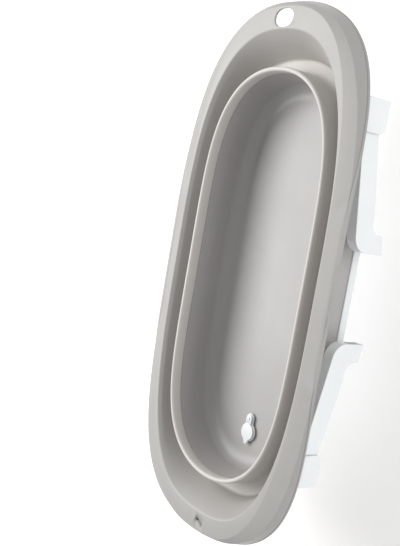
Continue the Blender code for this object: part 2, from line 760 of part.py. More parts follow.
def knuckle(name, low, high, tools):
    """A round bar on the plug's hinge line, from low to high across the bath."""
    place = (drain_x() + PLUG_AXIS, 0.0, FLAP_MIDDLE)
    return cylinder(name, KNUCKLE, low, high, 14, tools, None, place, (-math.pi / 2, 0.0, 0.0))


def knuckle_bore(name, tools):
    place = (drain_x() + PLUG_AXIS, 0.0, FLAP_MIDDLE)
    return cylinder(name, PLUG_PIN + PIN_FIT, -0.008, 0.008, 14, tools, None, place, (-math.pi / 2, 0.0, 0.0))


def make_strap(col, tools, white):
    strap = outline_solid("plug_strap", strap_outline(), PLUG_PLATE, col, white, (drain_x(), 0.0, FLAP_MIDDLE))
    peg_x = drain_x() + TAB_REACH - TAB_HALF
    cut(strap, cylinder("strap_peg_hole", PEG_RADIUS + GAP, FLAP_LOW - 0.002, FLAP_HIGH + 0.002, 12, tools, None,
                        (peg_x, 0.0, 0.0)))
    near = KNUCKLE_HALF + 0.0005
    far = TAB_HALF - 0.0004
    cut(strap, knuckle("strap_knuckle_left", near, far, tools), "UNION")
    cut(strap, knuckle("strap_knuckle_right", -far, -near, tools), "UNION")
    cut(strap, knuckle_bore("strap_bore", tools))


def make_plug_pin(col, steel):
    half = TAB_HALF - 0.0006
    profile = [(0.0, half), (PLUG_PIN, half), (PLUG_PIN, -half), (0.0, -half)]
    turned("plug_pin", profile, 14, col, steel, (drain_x() + PLUG_AXIS, 0.0, FLAP_MIDDLE), (-math.pi / 2, 0.0, 0.0))


def make_peg(col, white):
    tall = PLUG_PLATE + GAP
    profile = [(0.0, tall + GAP + 0.0009), (PEG_RADIUS * 1.6, tall + GAP + 0.0006), (PEG_RADIUS * 1.7, tall + GAP)]
    profile += [(PEG_RADIUS, tall + GAP), (PEG_RADIUS, -PEG_DEEP), (0.0, -PEG_DEEP)]
    turned("plug_peg", profile, 16, col, white, (drain_x() + TAB_REACH - TAB_HALF, 0.0, SEAT_HIGH))


def stem_profile():
    """The plug's tapered stem with a groove for its seal, heights from the plate's underside."""
    under = SEAT_LOW - FLAP_LOW
    full = DRAIN_BORE - STEM_FIT
    groove = full - 0.0009
    profile = [(0.0, 0.0008), (full, 0.0008), (full, under - 0.0006), (groove, under - 0.0008)]
    profile += [(groove, under - 0.0032), (full, under - 0.0034), (full - 0.0004, under - 0.0040)]
    profile += [(full - 0.0016, under - STEM_LENGTH), (0.0, under - STEM_LENGTH)]
    return profile


def make_flap(col, tools, white):
    place = (drain_x() + PLUG_AXIS, 0.0, FLAP_MIDDLE)
    flap = outline_solid("plug_flap", flap_outline(), PLUG_PLATE, col, white, place)
    cut(flap, turned("plug_stem", stem_profile(), 32, tools, None, (drain_x(), 0.0, FLAP_LOW)), "UNION")
    cut(flap, knuckle("flap_knuckle", -KNUCKLE_HALF, KNUCKLE_HALF, tools), "UNION")
    cut(flap, knuckle_bore("flap_bore", tools))


def make_seal(col, rubber):
    middle = DRAIN_BORE - STEM_FIT + 0.00005
    profile = []
    for i in range(8):
        ang = -2.0 * math.pi * i / 8
        profile.append((middle + 0.00060 * math.cos(ang), 0.00085 * math.sin(ang)))
    turned("plug_seal", profile, 32, col, rubber, (drain_x(), 0.0, SEAT_LOW - 0.0020), ring=True)


# ---------------------------------------------------------------- legs, brackets and fasteners
def leg_profile():
    """Side view: hub round the hinge, a bar towards the foot (+u), and a toe reaching the floor."""
    drop = TOP - HINGE_DROP
    reach = LEG_REACH
    toe = reach - TOE_LONG
    points = arc(0.0, 0.0, HUB_RADIUS, 82, 262, 14)
    points += [(0.028, -0.0190), (0.083, -0.0322), (toe - 0.0265, 0.0305 - drop)]
    points += arc(toe - TOE_FILLET - 0.0015, 0.0305 - drop - TOE_FILLET, TOE_FILLET, 85, 5, 6)
    points += [(toe, 0.0068 - drop), (toe + 0.0013, 0.0056 - drop), (reach - 0.0012, -drop), (reach, 0.0012 - drop)]
    points += arc(reach - TOE_ROUND, 0.036 - drop, TOE_ROUND, 0, 80, 8)
    return points


def leg_edges(u):
    """Lower and upper edge of the bar at a distance from the hinge."""
    drop = TOP - HINGE_DROP
    start = 0.028
    t = (u - start) / (LEG_REACH - TOE_LONG - 0.0265 - start)
    lower = -0.0190 + (0.0305 - drop + 0.0190) * t
    upper = 0.0108 + (0.0666 - drop - 0.0108) * t
    return lower, upper


def make_leg(end, side, col, tools, mat):
    place, turn = leg_place(end, side)
    tag = leg_name(end, side)
    leg = outline_solid("leg_" + tag, leg_profile(), LEG_THICK, col, mat, place, turn)
    soften(leg, LEG_EDGE)
    drop = TOP - HINGE_DROP
    half = LEG_THICK / 2 - LEG_WALL
    hollows = []
    low = 0.0078 - drop
    high = 0.0315 - drop
    cell = (high - low - 2 * 0.0016) / 3
    for index in range(3):
        v = low + index * (cell + 0.0016)
        hollows.append(box("cell", (LEG_REACH - 0.022, v, -half), (LEG_REACH + 0.004, v + cell, half), tools, None,
                           place, turn))
    first = 0.024
    last = LEG_REACH - TOE_LONG - 0.0305
    bay = (last - first - 2 * LEG_RIB) / 3
    out = outward(end, side)
    depth = LEG_THICK - LEG_WEB
    middle = shifted(place, turn, (0.0, 0.0, -out * (LEG_WEB / 2 + 0.002)))
    for index in range(3):
        u0 = first + index * (bay + LEG_RIB)
        u1 = u0 + bay
        points = []
        for u, edge in ((u0, 0), (u1, 0), (u1, 1), (u0, 1)):
            points.append((u, leg_edges(u)[edge] + (-0.003 if edge else 0.003)))
        hollows.append(outline_solid("pocket", points, depth + 0.004, tools, None, middle, turn))
    hollows.append(cylinder("hub_bore", PIN_RADIUS + GAP, -0.02, 0.02, 24, tools, None, place, turn))
    cut(leg, gathered("leg_hollows_" + tag, hollows, tools))


def make_bracket(end, side, col, tools, mat):
    place, turn = leg_place(end, side)
    tag = leg_name(end, side)
    half = LEG_THICK / 2 + GAP
    top = HINGE_DROP - BRACKET_TOP
    bottom = HINGE_DROP - BRACKET_BOTTOM
    points = [(-BRACKET_FAR, top), (-BRACKET_FAR, bottom)]
    points += arc(BRACKET_NEAR - BRACKET_ROUND, bottom + BRACKET_ROUND, BRACKET_ROUND, -90, 0, 7)
    points += [(BRACKET_NEAR, top)]
    block = outline_solid("bracket_" + tag, points, 2 * (half + BRACKET_WALL), col, mat, place, turn)
    soften(block, 0.0008)
    low = (BRACKET_END - BRACKET_FAR, bottom - 0.01, -half)
    high = (BRACKET_NEAR + 0.01, top - BRACKET_ROOF, half)
    cut(block, box("bracket_slot_" + tag, low, high, tools, None, place, turn))
    edge = half + BRACKET_WALL
    reach = BRACKET_CHAMFER
    corner = [(edge - reach, top), (edge, top - reach), (edge + 0.004, top - reach), (edge + 0.004, top + 0.004),
              (edge - reach, top + 0.004)]
    cut(block, outline_solid("bracket_corner_" + tag, corner, 0.08, tools, None, place,
                             (math.pi / 2, 0.0, side * math.pi / 2)))
    out = outward(end, side)
    ends = sorted((out * (half + 0.0018), -out * (half + 0.02)))
    holes = [cylinder("pin_bore", PIN_RADIUS + PIN_FIT, ends[0], ends[1], 24, tools, None, place, turn)]
    for spot in bracket_screw_spots(end, side):
        holes.append(cylinder("roof_hole", SCREW_RADIUS + GAP, -BRACKET_ROOF - 0.002, 0.002, 12, tools, None, spot))
    cut(block, gathered("bracket_holes_" + tag, holes, tools))


def make_hinge_pin(end, side, col, mat):
    place, turn = leg_place(end, side)
    half = LEG_THICK / 2 + GAP
    outer = half + 0.0015
    inner = -half - BRACKET_WALL
    profile = [(0.0, outer), (PIN_RADIUS - 0.0006, outer), (PIN_RADIUS, outer - 0.0006), (PIN_RADIUS, inner - GAP)]
    profile += [(PIN_HEAD, inner - GAP), (PIN_HEAD, inner - 0.0018), (PIN_HEAD - 0.001, inner - 0.0026)]
    profile += [(0.0, inner - 0.0026)]
    turned("hinge_pin_" + leg_name(end, side), profile, 24, col, mat, place, (-side * math.pi / 2, 0.0, 0.0))


def screw(name, length, place, col, mat):
    """A pan-head screw, head down, its shank standing on the origin."""
    profile = [(0.0, length + 0.0008), (SCREW_RADIUS, length), (SCREW_RADIUS, -GAP), (SCREW_HEAD, -GAP)]
    profile += [(SCREW_HEAD, -SCREW_HEAD_TALL / 2), (SCREW_HEAD * 0.72, -SCREW_HEAD_TALL), (0.0, -SCREW_HEAD_TALL)]
    turned(name, profile, 12, col, mat, place)


def make_screws(col, mat):
    for index, (x, y) in enumerate(base_screw_spots()):
        screw(f"base_screw_{index + 1}", 0.0078, (x, y, TOP - PLATE_TOP - PLATE), col, mat)
    for end in (1, -1):
        for side in (1, -1):
            for index, spot in enumerate(bracket_screw_spots(end, side)):
                name = f"bracket_screw_{leg_name(end, side)}_{index + 1}"
                screw(name, BRACKET_ROOF + 0.0037, (spot.x, spot.y, spot.z - BRACKET_ROOF), col, mat)


def main():
    clear_scene()
    parts = collection("pet_bathtub")
    tools = collection("cutters")
    ways = stations()
    make_rim(ways, parts, tools, material("rim_polypropylene", (0.40, 0.39, 0.38), 0.45))
    loft("fold_band", band_section, ways, True, parts, material("band_elastomer", (0.55, 0.53, 0.51), 0.55))
    make_pan(ways, parts, tools, material("pan_polypropylene", (0.38, 0.37, 0.365), 0.42))
    make_base(ways, parts, tools, material("base_polypropylene", (0.86, 0.86, 0.85), 0.40))
    white = material("plug_polypropylene", (0.88, 0.88, 0.87), 0.38)
    rubber = material("seal_rubber", (0.20, 0.20, 0.20), 0.70)
    steel = material("zinc_steel", (0.60, 0.60, 0.61), 0.35, 1.0)
    make_seat(parts, tools, white)
    make_gasket(parts, rubber)
    make_nut(parts, tools, white)
    make_strap(parts, tools, white)
    make_plug_pin(parts, steel)
    make_peg(parts, white)
    make_flap(parts, tools, white)
    make_seal(parts, rubber)
    leg_white = material("leg_polypropylene", (0.88, 0.89, 0.89), 0.36)
    for end in (1, -1):
        for side in (1, -1):
            make_bracket(end, side, parts, tools, leg_white)
            make_leg(end, side, parts, tools, leg_white)
            make_hinge_pin(end, side, parts, steel)
    make_screws(parts, steel)


main()
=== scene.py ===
import math
import bmesh
import bpy
from mathutils import Matrix, Vector


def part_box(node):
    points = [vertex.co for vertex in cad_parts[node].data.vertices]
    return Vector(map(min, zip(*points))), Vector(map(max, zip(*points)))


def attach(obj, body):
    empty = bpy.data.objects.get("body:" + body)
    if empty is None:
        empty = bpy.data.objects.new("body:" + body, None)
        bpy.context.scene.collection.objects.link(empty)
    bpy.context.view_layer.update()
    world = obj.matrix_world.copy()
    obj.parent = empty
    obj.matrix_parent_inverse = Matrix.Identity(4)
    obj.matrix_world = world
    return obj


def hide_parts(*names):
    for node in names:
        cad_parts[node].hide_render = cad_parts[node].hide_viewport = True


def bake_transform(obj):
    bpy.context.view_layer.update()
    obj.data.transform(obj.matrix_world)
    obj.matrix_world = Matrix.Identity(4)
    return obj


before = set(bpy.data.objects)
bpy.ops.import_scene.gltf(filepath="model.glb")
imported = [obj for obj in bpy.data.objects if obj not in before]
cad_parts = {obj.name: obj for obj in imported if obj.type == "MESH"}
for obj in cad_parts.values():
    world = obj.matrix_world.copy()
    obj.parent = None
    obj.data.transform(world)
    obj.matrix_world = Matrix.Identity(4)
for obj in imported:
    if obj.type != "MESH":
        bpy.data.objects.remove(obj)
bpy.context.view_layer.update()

print("frame loaded:", len(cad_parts), "nodes")

# sizes that every piece shares, in metres; the big ones come from the frame
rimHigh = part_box("rim_frame")[1]
tub = {
    "pointsRound": 288,          # points in one turn of an outline
    "top": rimHigh[2],
    "halfLength": rimHigh[0],
    "halfWidth": rimHigh[1],
    "middle": -0.0055,           # where the rounder head half meets the squarer drain half
    "skin": 0.0028,              # moulded wall
    "gap": 0.0003,               # running clearance
    "ridgeDrop": 0.004,
    "beadHalf": 0.0035,
    "wrapDepth": 0.022,
    "valleyDepth": 0.0515,
    "floorDepth": 0.082,
    "ringTop": 0.058,            # grey ring under the pan
    "ringBottom": 0.0905,
    "plateTop": 0.0945,          # white base plate
    "footDepth": 0.1035,
}


def oval(headInset, tailInset, sideInset, headEnd, tailEnd, headSide, tailSide):
    # half lengths of the two halves, half width, then the powers along and across for each half
    return {"head": tub["halfLength"] - tub["middle"] - headInset,
            "tail": tub["halfLength"] + tub["middle"] - tailInset,
            "side": tub["halfWidth"] - sideInset,
            "headPowers": (headEnd, headSide), "tailPowers": (tailEnd, tailSide)}


ovals = {
    "inner": oval(0.0450, 0.0355, 0.0330, 3.50, 3.24, 2.35, 2.67),
    "shoulder": oval(0.0122, 0.0040, 0.0305, 3.57, 3.42, 2.51, 2.63),
    "crease": oval(0.0050, 0.0020, 0.0045, 3.57, 4.30, 2.26, 2.45),
    "lip": oval(0.0, 0.0, 0.0, 4.78, 5.05, 2.15, 2.30),
    "wallFoot": oval(0.0805, 0.0695, 0.0445, 3.50, 3.50, 2.50, 2.60),
    "ridge": oval(0.1030, 0.0920, 0.0635, 4.60, 4.60, 2.08, 2.08),
}


def reachAlong(name, dx, dy):
    # distance from the middle to the oval in one direction, by halving
    half = "head" if dx > 0.0 else "tail"
    a, b = ovals[name][half], ovals[name]["side"]
    m, n = ovals[name][half + "Powers"]
    low, high = 0.0, a + b
    halvings = 44
    for step in range(halvings):
        middle = 0.5 * (low + high)
        if abs(middle * dx / a) ** m + abs(middle * dy / b) ** n < 1.0:
            low = middle
        else:
            high = middle
    return low


def halfWidthAt(name, x):
    half = "head" if x > tub["middle"] else "tail"
    m, n = ovals[name][half + "Powers"]
    inside = 1.0 - abs((x - tub["middle"]) / ovals[name][half]) ** m
    return ovals[name]["side"] * max(0.0, inside) ** (1.0 / n)


def evenDirections(count):
    # directions whose points are evenly spaced along the wall's foot, with how oblique each one is
    fine = 2880
    points = []
    for i in range(fine + 1):
        angle = math.tau * i / fine
        r = reachAlong("wallFoot", math.cos(angle), math.sin(angle))
        points.append(Vector((r * math.cos(angle), r * math.sin(angle))))
    run = [0.0]
    for one, two in zip(points, points[1:]):
        run.append(run[-1] + (two - one).length)
    found = []
    j = 0
    for k in range(count):
        goal = run[-1] * k / count
        while run[j + 1] < goal:
            j += 1
        spot = points[j].lerp(points[j + 1], (goal - run[j]) / (run[j + 1] - run[j]))
        along = (points[j + 1] - points[j]).normalized()
        way = spot.normalized()
        found.append((way.x, way.y, 1.0 / max(abs(way.cross(along)), 0.6)))
    return found


directions = evenDirections(tub["pointsRound"])


# ---- materials
def hexColour(text):
    channels = [int(text[i:i + 2], 16) / 255.0 for i in (0, 2, 4)]
    linear = [c / 12.92 if c <= 0.04045 else ((c + 0.055) / 1.055) ** 2.4 for c in channels]
    return (*linear, 1.0)


def addNode(tree, kind, settings=None, links=None):
    node = tree.nodes.new(kind)
    for key, value in (settings or {}).items():
        if isinstance(key, int) or key in node.inputs:
            node.inputs[key].default_value = value
        else:
            setattr(node, key, value)
    for key, source in (links or {}).items():
        tree.links.new(source, node.inputs[key])
    return node


def perMetre(millimetres):
    return 1000.0 / millimetres


def newMaterial(name):
    material = bpy.data.materials.new(name)
    material.use_nodes = True
    tree = material.node_tree
    tree.nodes.clear()
    shader = addNode(tree, "ShaderNodeBsdfPrincipled")
    addNode(tree, "ShaderNodeOutputMaterial", None, {"Surface": shader.outputs[0]})
    place = addNode(tree, "ShaderNodeTexCoord").outputs["Object"]
    return material, tree, shader, place


def mouldedMaterial(name, look):
    # thermoplastic out of a steel mould: fine spark texture, soft sink waves, cloudy pigment, hand scuffs
    material, tree, shader, place = newMaterial(name)
    shader.inputs["IOR"].default_value = look["ior"]
    cloud = addNode(tree, "ShaderNodeTexNoise",
                    {"Scale": perMetre(look["cloudMm"]), "Detail": 4.0, "Roughness": 0.55}, {"Vector": place})
    grain = addNode(tree, "ShaderNodeTexNoise",
                    {"Scale": perMetre(look["grainMm"]), "Detail": 2.0, "Roughness": 0.6}, {"Vector": place})
    stretched = addNode(tree, "ShaderNodeMapping", {"Scale": (0.22, 1.0, 1.0)}, {"Vector": place})
    scuff = addNode(tree, "ShaderNodeTexNoise",
                    {"Scale": perMetre(look["scuffMm"]), "Detail": 6.0, "Roughness": 0.72, "Distortion": 0.6},
                    {"Vector": stretched.outputs[0]})
    scuffMask = addNode(tree, "ShaderNodeMapRange",
                        {"From Min": 0.60, "From Max": 0.78, "To Min": 0.0, "To Max": look["scuffAmount"]},
                        {"Value": scuff.outputs[0]})
    body = addNode(tree, "ShaderNodeMix",
                   {"data_type": "RGBA", 6: hexColour(look["deep"]), 7: hexColour(look["pale"])},
                   {0: cloud.outputs[0]})
    speckled = addNode(tree, "ShaderNodeMix",
                       {"data_type": "RGBA", "blend_type": "OVERLAY", 0: look["speckle"]},
                       {6: body.outputs[2], 7: grain.outputs[0]})
    worn = addNode(tree, "ShaderNodeMix", {"data_type": "RGBA", 7: hexColour(look["scuff"])},
                   {0: scuffMask.outputs[0], 6: speckled.outputs[2]})
    gloss = addNode(tree, "ShaderNodeMapRange",
                    {"From Min": 0.3, "From Max": 0.7, "To Min": look["smooth"], "To Max": look["rough"]},
                    {"Value": cloud.outputs[0]})
    glossWorn = addNode(tree, "ShaderNodeMath", {"operation": "MULTIPLY_ADD", 1: 0.35},
                        {0: scuffMask.outputs[0], 2: gloss.outputs[0]})
    wave = addNode(tree, "ShaderNodeTexNoise", {"Scale": perMetre(look["waveMm"]), "Detail": 1.0},
                   {"Vector": place})
    waveBump = addNode(tree, "ShaderNodeBump", {"Strength": 0.5, "Distance": look["waveHeight"]},
                       {"Height": wave.outputs[0]})
    grainBump = addNode(tree, "ShaderNodeBump",
                        {"Strength": look["grainStrength"], "Distance": look["grainHeight"]},
                        {"Height": grain.outputs[0], "Normal": waveBump.outputs[0]})
    tree.links.new(worn.outputs[2], shader.inputs["Base Color"])
    tree.links.new(glossWorn.outputs[0], shader.inputs["Roughness"])
    tree.links.new(grainBump.outputs[0], shader.inputs["Normal"])
    return material


# grey polypropylene, spark-eroded mould: an even satin grey with very soft highlights
greyLook = {"ior": 1.49, "deep": "a7a5a2", "pale": "b0aeab", "scuff": "c4c2bf", "scuffAmount": 0.22,
            "speckle": 0.05, "smooth": 0.40, "rough": 0.50, "cloudMm": 70, "grainMm": 0.9, "scuffMm": 30,
            "waveMm": 60, "waveHeight": 0.0008, "grainStrength": 0.10, "grainHeight": 0.0003}
greyPolypropylene = mouldedMaterial("polypropylene moulded grey", greyLook)
# the pan is the same plastic, coloured a touch darker as painted shade for its place deep inside the tub, and
# smoother where water runs
panPolypropyleneShadeDarkened = mouldedMaterial("polypropylene moulded grey pan darkened as painted shade",
                                   greyLook | {"deep": "a4a2a0", "pale": "acaaa8",
                                               "smooth": 0.34, "rough": 0.44, "grainMm": 1.2})
# thermoplastic elastomer: warm pale grey, matt and slightly velvety
elastomer = mouldedMaterial("thermoplastic elastomer moulded",
                            greyLook | {"ior": 1.51, "deep": "cbc7c3", "pale": "d3cfcb", "scuff": "dcdad7",
                                        "smooth": 0.50, "rough": 0.62, "grainMm": 0.8, "cloudMm": 40,
                                        "waveMm": 35, "waveHeight": 0.0010})
elastomer.node_tree.nodes["Principled BSDF"].inputs["Sheen Weight"].default_value = 0.12
# white polypropylene, polished mould: clean, faintly cool white with a clear soft shine
whitePolypropylene = mouldedMaterial("polypropylene moulded white",
                                     greyLook | {"deep": "dfe2e3", "pale": "e7eaeb", "scuff": "d2d5d7",
                                                 "scuffAmount": 0.16, "smooth": 0.28, "rough": 0.38,
                                                 "grainMm": 1.6, "waveMm": 45, "waveHeight": 0.0006})
# nitrile rubber: dull dark grey with a dusty bloom
rubber = mouldedMaterial("nitrile rubber moulded",
                         greyLook | {"ior": 1.52, "deep": "6c6b6a", "pale": "7b7a78", "scuff": "9a9896",
                                     "smooth": 0.66, "rough": 0.80, "cloudMm": 6, "waveMm": 8,
                                     "waveHeight": 0.0002})


def platedSteel():
    # zinc-plated steel, turned then plated: bright grey metal, fine crystals and cloudy passivation
    material, tree, shader, place = newMaterial("zinc plated steel")
    shader.inputs["Metallic"].default_value = 1.0
    crystal = addNode(tree, "ShaderNodeTexVoronoi", {"Scale": perMetre(0.8)}, {"Vector": place})
    cloud = addNode(tree, "ShaderNodeTexNoise", {"Scale": perMetre(3.0), "Detail": 5.0}, {"Vector": place})
    tint = addNode(tree, "ShaderNodeMix",
                   {"data_type": "RGBA", 6: hexColour("b4b7bb"), 7: hexColour("d2d2cd")},
                   {0: cloud.outputs[0]})
    gloss = addNode(tree, "ShaderNodeMapRange", {"To Min": 0.26, "To Max": 0.46},
                    {"Value": crystal.outputs[0]})
    relief = addNode(tree, "ShaderNodeBump", {"Strength": 0.15, "Distance": 0.0001},
                     {"Height": crystal.outputs[0]})
    tree.links.new(tint.outputs[2], shader.inputs["Base Color"])
    tree.links.new(gloss.outputs[0], shader.inputs["Roughness"])
    tree.links.new(relief.outputs[0], shader.inputs["Normal"])
    return material


zincSteel = platedSteel()
print("materials made")


# ---- ways of making a piece
def markSharp(bm, degrees):
    for face in bm.faces:
        face.smooth = True
    for edge in bm.edges:
        edge.smooth = edge.calc_face_angle(0.0) < math.radians(degrees)


def newPiece(name, bm, material, sharpDegrees=38):
    markSharp(bm, sharpDegrees)
    mesh = bpy.data.meshes.new(name)
    bm.to_mesh(mesh)
    bm.free()
    mesh.materials.append(material)
    piece = bpy.data.objects.new(name, mesh)
    bpy.context.scene.collection.objects.link(piece)
    return piece


def loopsFrom(profile, rounding, endless, ways=directions, x=tub["middle"]):
    # one loop of points, extruded level by level to each next oval; named levels are then rounded over
    bm = bmesh.new()
    station = bm.verts.layers.int.new("station")
    level = bm.verts.layers.int.new("level")
    sections = [profile(*way) for way in ways]
    rows = len(sections[0])
    bmesh.ops.create_circle(bm, radius=1.0, segments=len(ways))
    for i, vert in enumerate(bm.verts):
        vert[station] = i
    edges = bm.edges[:]
    for row in range(rows + (1 if endless else 0)):
        if row:
            made = bmesh.ops.extrude_edge_only(bm, edges=edges)["geom"]
            verts = [v for v in made if isinstance(v, bmesh.types.BMVert)]
            edges = [e for e in made if isinstance(e, bmesh.types.BMEdge)
                     and all(v in set(verts) for v in e.verts)]
        else:
            verts = bm.verts[:]
        for vert in verts:
            vert[level] = row % rows
            r, z = sections[vert[station]][row % rows]
            dx, dy = ways[vert[station]][:2]
            vert.co = (x + r * dx, r * dy, z)
    if endless:
        bmesh.ops.remove_doubles(bm, verts=bm.verts, dist=1e-7)
    else:
        for row in (0, rows - 1):
            rim = [e for e in bm.edges if e.is_boundary and all(v[level] == row for v in e.verts)]
            bmesh.ops.edgeloop_fill(bm, edges=rim)
    bmesh.ops.recalc_face_normals(bm, faces=bm.faces)
    for row, size, segments in rounding:
        ring = [e for e in bm.edges if all(v[level] == row for v in e.verts)]
        bmesh.ops.bevel(bm, geom=ring, offset=size, segments=segments, profile=0.5, affect="EDGES",
                        material=-1, clamp_overlap=True)
    return bm


def cutOrJoin(piece, tools, operation="DIFFERENCE"):
    # Boolean against the tools, made real, and the tools thrown away
    for tool in tools:
        modifier = piece.modifiers.new(tool.name, "BOOLEAN")
        modifier.object = tool
        modifier.operation = operation
        modifier.solver = "EXACT"
    graph = bpy.context.evaluated_depsgraph_get()
    mesh = bpy.data.meshes.new_from_object(piece.evaluated_get(graph))
    piece.modifiers.clear()
    piece.data = mesh
    for tool in tools:
        bpy.data.objects.remove(tool, do_unlink=True)


def flatShine(piece):
    # normals weighted by area, so that a flat face stays flat beside its rounded edges
    modifier = piece.modifiers.new("weighted", "WEIGHTED_NORMAL")
    modifier.keep_sharp = True
    modifier.weight = 80


def cornered(bm, corners):
    # a flat face from a few corners (u, v, radius), each corner rounded by a vertex bevel
    verts = [bm.verts.new((u, v, 0.0)) for u, v, radius in corners]
    face = bm.faces.new(verts)
    if face.normal.z < 0.0:
        face.normal_flip()
    count = len(corners)
    for i, (u, v, radius) in enumerate(corners):
        if radius <= 0.0:
            continue
        here = Vector((u, v))
        before = (Vector(corners[i - 1][:2]) - here).normalized()
        after = (Vector(corners[(i + 1) % count][:2]) - here).normalized()
        offset = radius / math.tan(0.5 * before.angle(after))
        bmesh.ops.bevel(bm, geom=[verts[i]], offset=offset, segments=max(3, int(radius * 900)), profile=0.5,
                        affect="VERTICES", material=-1, clamp_overlap=False)
    return bm.faces[:]


def slab(corners, low, high, edge, segments=3, place=None):
    # the cornered face pushed to a thickness, its edges rounded, then turned into place
    bm = bmesh.new()
    faces = cornered(bm, corners)
    thicken(bm, faces, low, high, edge, segments)
    if place is not None:
        bmesh.ops.transform(bm, matrix=place, verts=bm.verts)
        bmesh.ops.recalc_face_normals(bm, faces=bm.faces)
    return bm


def thicken(bm, faces, low, high, edge, segments):
    bmesh.ops.translate(bm, verts=bm.verts, vec=(0.0, 0.0, low))
    made = bmesh.ops.extrude_face_region(bm, geom=faces, use_keep_orig=True)["geom"]
    bmesh.ops.translate(bm, verts=[v for v in made if isinstance(v, bmesh.types.BMVert)],
                        vec=(0.0, 0.0, high - low))
    bmesh.ops.recalc_face_normals(bm, faces=bm.faces)
    if edge > 0.0:
        sharp = [e for e in bm.edges if e.calc_face_angle(0.0) > math.radians(50)]
        bmesh.ops.bevel(bm, geom=sharp, offset=edge, segments=segments, profile=0.5, affect="EDGES",
                        material=-1, clamp_overlap=True)


def roundBar(radius, low, high, edge, segments=48, x=0.0, y=0.0):
    bm = bmesh.new()
    bmesh.ops.create_circle(bm, cap_ends=True, radius=radius, segments=segments)
    thicken(bm, bm.faces[:], low, high, edge, 3)
    bmesh.ops.translate(bm, verts=bm.verts, vec=(x, y, 0.0))
    return bm


# ---- rim
rim = {
    "creaseDrop": 0.0055,
    "lipSide": 0.0070,           # how far the lip hangs below the top, at the sides
    "lipEnd": 0.0216,            # and at the ends
    "wallDepth": 0.046,
    "grooveDepth": 0.0007,
    "holeX": tub["halfLength"] - 0.0291,
    "holeHalf": (0.0136, 0.0198),
    "hookTurn": 62,
    "hook": (-(tub["halfLength"] - 0.0195), -0.011),
    "hookFloor": 0.0075,         # depth of the hook's pocket
    "notchX": tub["halfLength"] - 0.103,
}


def lipDrop(x):
    # x from the middle; the lip falls over the last third towards each end
    reach = ovals["lip"]["head" if x > 0.0 else "tail"]
    t = min(1.0, max(0.0, (abs(x) - reach + 0.332) / 0.300))
    return rim["lipSide"] + (rim["lipEnd"] - rim["lipSide"]) * t * t * (3.0 - 2.0 * t)


def rimProfile(dx, dy, oblique):
    inner = reachAlong("inner", dx, dy)
    shoulder = max(reachAlong("shoulder", dx, dy), inner + 0.0026 * oblique)
    crease = reachAlong("crease", dx, dy)
    lip = reachAlong("lip", dx, dy)
    foot = reachAlong("wallFoot", dx, dy)
    drop = -lipDrop(lip * dx)
    skin = tub["skin"] * oblique
    deep = rim["wallDepth"]
    skirt = lambda t: (crease + (lip - crease) * t, -rim["creaseDrop"] + (drop + rim["creaseDrop"]) * t)
    tall = -rim["creaseDrop"] - drop
    g0 = skirt(1.0 - 0.0030 / tall)
    g1 = skirt(1.0 - 0.0018 / tall)
    groove = rim["grooveDepth"] * oblique
    section = [(foot, -deep)]
    for t in (0.18, 0.36, 0.54, 0.72, 0.86):
        section.append((foot + (inner - foot) * t, -deep + deep * (t + 0.06 * math.sin(math.pi * t))))
    section += [
        (inner, 0.0),
        (shoulder, 0.0),
        (crease, -rim["creaseDrop"]),
        g0,
        (g0[0] - groove, g0[1] - 0.0002),
        (g1[0] - groove, g1[1] + 0.0002),
        g1,
        (lip, drop),
        (lip - 0.0024 * oblique, drop),
        (crease - 0.0026 * oblique, -rim["creaseDrop"] - tub["skin"] - 0.0004),
        (max(shoulder - 0.0012 * oblique, inner + skin + 0.0006 * oblique), -tub["skin"] - 0.0004),
        (inner + skin, -tub["skin"]),
        (inner + 0.75 * skin, -0.0052),
        (foot + 0.52 * (inner - foot) + skin, -0.55 * deep),
        (foot + skin, -deep),
    ]
    return [(r, tub["top"] + z) for r, z in section]


